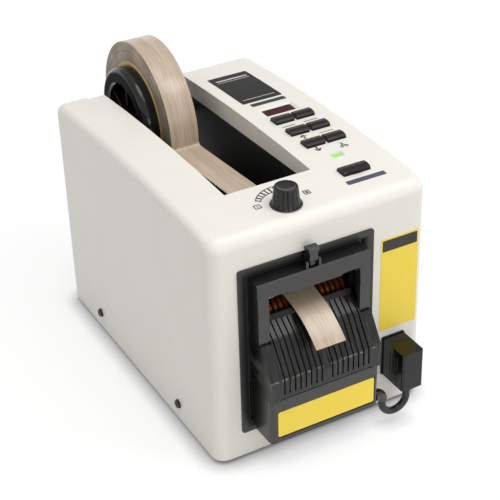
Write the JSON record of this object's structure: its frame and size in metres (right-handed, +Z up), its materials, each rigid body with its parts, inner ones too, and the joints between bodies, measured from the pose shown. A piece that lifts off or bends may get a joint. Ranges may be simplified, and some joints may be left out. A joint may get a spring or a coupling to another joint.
{
  "type": "electric_tape_dispenser",
  "caption": "Electric tape dispenser with a tape reel in an open well, feed rollers, a motor cutter behind a ribbed outlet ramp and a key console.",
  "frame": {"origin": "Middle of the bounding box on the plane of the feet, so at the level of the table it stands on.", "axes": "X to the right as seen from the front, Y to the back, Z up."},
  "size_m": [0.1432, 0.2676, 0.1793],
  "materials": {
    "cover_white": "slightly glossy warm off-white moulding",
    "black_plastic": "fine satin black moulding",
    "gloss_black": "glossy black moulding",
    "key_black": "satin black key caps",
    "sheet_steel": "zinc plated sheet",
    "bright_steel": "ground steel",
    "blade_steel": "hardened, ground edge",
    "motor_can": "drawn steel can",
    "bush_brass": "turned",
    "foot_rubber": "soft moulded feet",
    "roller_rubber": "ground rubber",
    "orange_silicone": "orange silicone rings",
    "lead_rubber": "black lead jacket",
    "dark_screws": "blackened screws",
    "tape_film": "tan film with streaks along its length",
    "core_paper": "wound card core",
    "gear_plastic": "natural acetal",
    "board_green": "circuit board",
    "display_red": "dark red filter",
    "lamp_green": "green lens",
    "coil_tape": "yellow coil wrap"
  },
  "bodies": {
    "housing": {"main_cover": "cover_white", "base_plate": "sheet_steel", "rubber_feet": "foot_rubber", "cover_screws": "dark_screws", "reel_chassis": "black_plastic", "reel_axle": "bright_steel", "reel_spacers": "bright_steel", "tape_web": "tape_film", "tape_tongue": "tape_film", "feed_frame": "sheet_steel", "roller_bushes": "bush_brass", "feed_motor": "motor_can", "unit_bezel": "black_plastic", "cutter_hood": "black_plastic", "outlet_ramp": "black_plastic", "front_block": "black_plastic", "cutter_frame": "sheet_steel", "fixed_blade": "blade_steel", "cutter_motor": "motor_can", "latch_pin": "bright_steel", "connector_socket": "black_plastic", "connector_plug": "black_plastic", "cutter_lead": "lead_rubber", "speed_pot": "motor_can", "keypad_board": "board_green", "display_module": "black_plastic", "display_window": "display_red", "power_lamp": "lamp_green", "power_inlet": "black_plastic", "switch_frame": "black_plastic", "fuse_cap": "black_plastic", "transformer_core": "sheet_steel", "transformer_coil": "coil_tape", "main_board": "board_green"},
    "reel": {"reel_hub": "gloss_black", "tape_core": "core_paper", "tape_roll": "tape_film"},
    "guide": {"guide_roller": "bright_steel"},
    "feed_roller": {"feed_shaft": "black_plastic", "feed_rings": "orange_silicone", "feed_gear": "gear_plastic"},
    "pressure_roller": {"pressure_shaft": "bright_steel", "pressure_sleeve": "roller_rubber"},
    "drive": {"drive_gear": "gear_plastic"},
    "blade": {"moving_blade": "blade_steel", "blade_carrier": "sheet_steel"},
    "crank": {"cutter_crank": "bush_brass"},
    "latch_catch": {"latch": "black_plastic"},
    "knob": {"speed_knob": "gloss_black", "knob_shaft": "bright_steel"},
    "auto_cap": {"auto_key": "key_black"},
    "rocker": {"power_rocker": "gloss_black"},
    "cap_1": {"key_1": "key_black"},
    "cap_2": {"key_2": "key_black"},
    "cap_3": {"key_3": "key_black"},
    "cap_4": {"key_4": "key_black"},
    "cap_5": {"key_5": "key_black"},
    "cap_6": {"key_6": "key_black"}
  },
  "joints": [
    {"name": "reel_spin", "type": "hinge", "parent": "housing", "child": "reel", "pos_m": [-0.0104, 0.08502, 0.1305], "axis": [1, 0, 0], "continuous": true},
    {"name": "guide_spin", "type": "hinge", "parent": "housing", "child": "guide", "pos_m": [-0.0104, -0.05598, 0.1276], "axis": [1, 0, 0], "continuous": true},
    {"name": "feed_spin", "type": "hinge", "parent": "housing", "child": "feed_roller", "pos_m": [-0.0104, -0.09698, 0.09028], "axis": [1, 0, 0], "continuous": true},
    {"name": "pressure_spin", "type": "hinge", "parent": "housing", "child": "pressure_roller", "pos_m": [-0.0104, -0.09698, 0.1036], "axis": [1, 0, 0], "continuous": true},
    {"name": "drive_spin", "type": "hinge", "parent": "housing", "child": "drive", "pos_m": [-0.0504, -0.08094, 0.08211], "axis": [1, 0, 0], "continuous": true},
    {"name": "blade_drop", "type": "slide", "parent": "housing", "child": "blade", "axis": [0, 0, -1], "range_m": [0, 0.012]},
    {"name": "crank_turn", "type": "hinge", "parent": "housing", "child": "crank", "pos_m": [-0.0104, -0.10298, 0.055], "axis": [0, -1, 0], "range_deg": [0, 180]},
    {"name": "latch_lift", "type": "hinge", "parent": "housing", "child": "latch_catch", "pos_m": [-0.0104, -0.10148, 0.126], "axis": [-1, 0, 0], "range_deg": [0, 12], "stiffness_Nm_per_rad": 0.05},
    {"name": "knob_turn", "type": "hinge", "parent": "housing", "child": "knob", "pos_m": [-0.0132, -0.09178, 0.15029], "axis": [0, 0, 1], "range_deg": [-150, 150]},
    {"name": "press_1", "type": "slide", "parent": "housing", "child": "cap_1", "axis": [0, 0, -1], "range_m": [0, 0.001], "stiffness_N_per_m": 300},
    {"name": "press_2", "type": "slide", "parent": "housing", "child": "cap_2", "axis": [0, 0, -1], "range_m": [0, 0.001], "stiffness_N_per_m": 300},
    {"name": "press_3", "type": "slide", "parent": "housing", "child": "cap_3", "axis": [0, 0, -1], "range_m": [0, 0.001], "stiffness_N_per_m": 300},
    {"name": "press_4", "type": "slide", "parent": "housing", "child": "cap_4", "axis": [0, 0, -1], "range_m": [0, 0.001], "stiffness_N_per_m": 300},
    {"name": "press_5", "type": "slide", "parent": "housing", "child": "cap_5", "axis": [0, 0, -1], "range_m": [0, 0.001], "stiffness_N_per_m": 300},
    {"name": "press_6", "type": "slide", "parent": "housing", "child": "cap_6", "axis": [0, 0, -1], "range_m": [0, 0.001], "stiffness_N_per_m": 300},
    {"name": "press_auto", "type": "slide", "parent": "housing", "child": "auto_cap", "axis": [0, 0, -1], "range_m": [0, 0.001], "stiffness_N_per_m": 300},
    {"name": "power_tip", "type": "hinge", "parent": "housing", "child": "rocker", "pos_m": [0.04342, 0.09662, 0.067], "axis": [1, 0, 0], "range_deg": [-24, 0]}
  ],
  "couplings": [
    {"joint": "guide_spin", "follows": "reel_spin", "ratio": 9.76},
    {"joint": "feed_spin", "follows": "reel_spin", "ratio": 6.9714},
    {"joint": "pressure_spin", "follows": "reel_spin", "ratio": -9.76},
    {"joint": "drive_spin", "follows": "reel_spin", "ratio": -3.4857},
    {"joint": "crank_turn", "follows": "blade_drop", "rad_per_m": 261.7}
  ]
}
